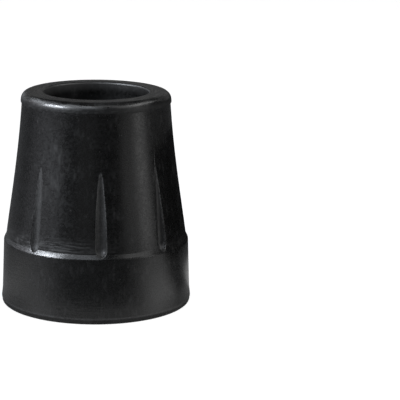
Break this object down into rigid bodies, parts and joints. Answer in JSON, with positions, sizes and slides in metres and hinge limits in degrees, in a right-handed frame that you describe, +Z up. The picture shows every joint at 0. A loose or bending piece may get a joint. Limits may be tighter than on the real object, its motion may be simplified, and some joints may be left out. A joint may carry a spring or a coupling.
{
  "type": "rubber cane tip",
  "caption": "Bell-shaped rubber foot for a walking stick: lipped blind socket for the shaft, fluted body, wide collar and a ringed tread.",
  "frame": {"origin": "middle of the tread, on the ground that the tip stands on", "axes": "+Z up along the shaft's axis; flutes lie on +X, +Y, -X and -Y and halfway between them"},
  "size_m": [0.0402, 0.0402, 0.045],
  "materials": {
    "rubber": "satin black moulded rubber, slightly dusty"
  },
  "bodies": {
    "root": {"cane_tip": "rubber"}
  },
  "joints": []
}
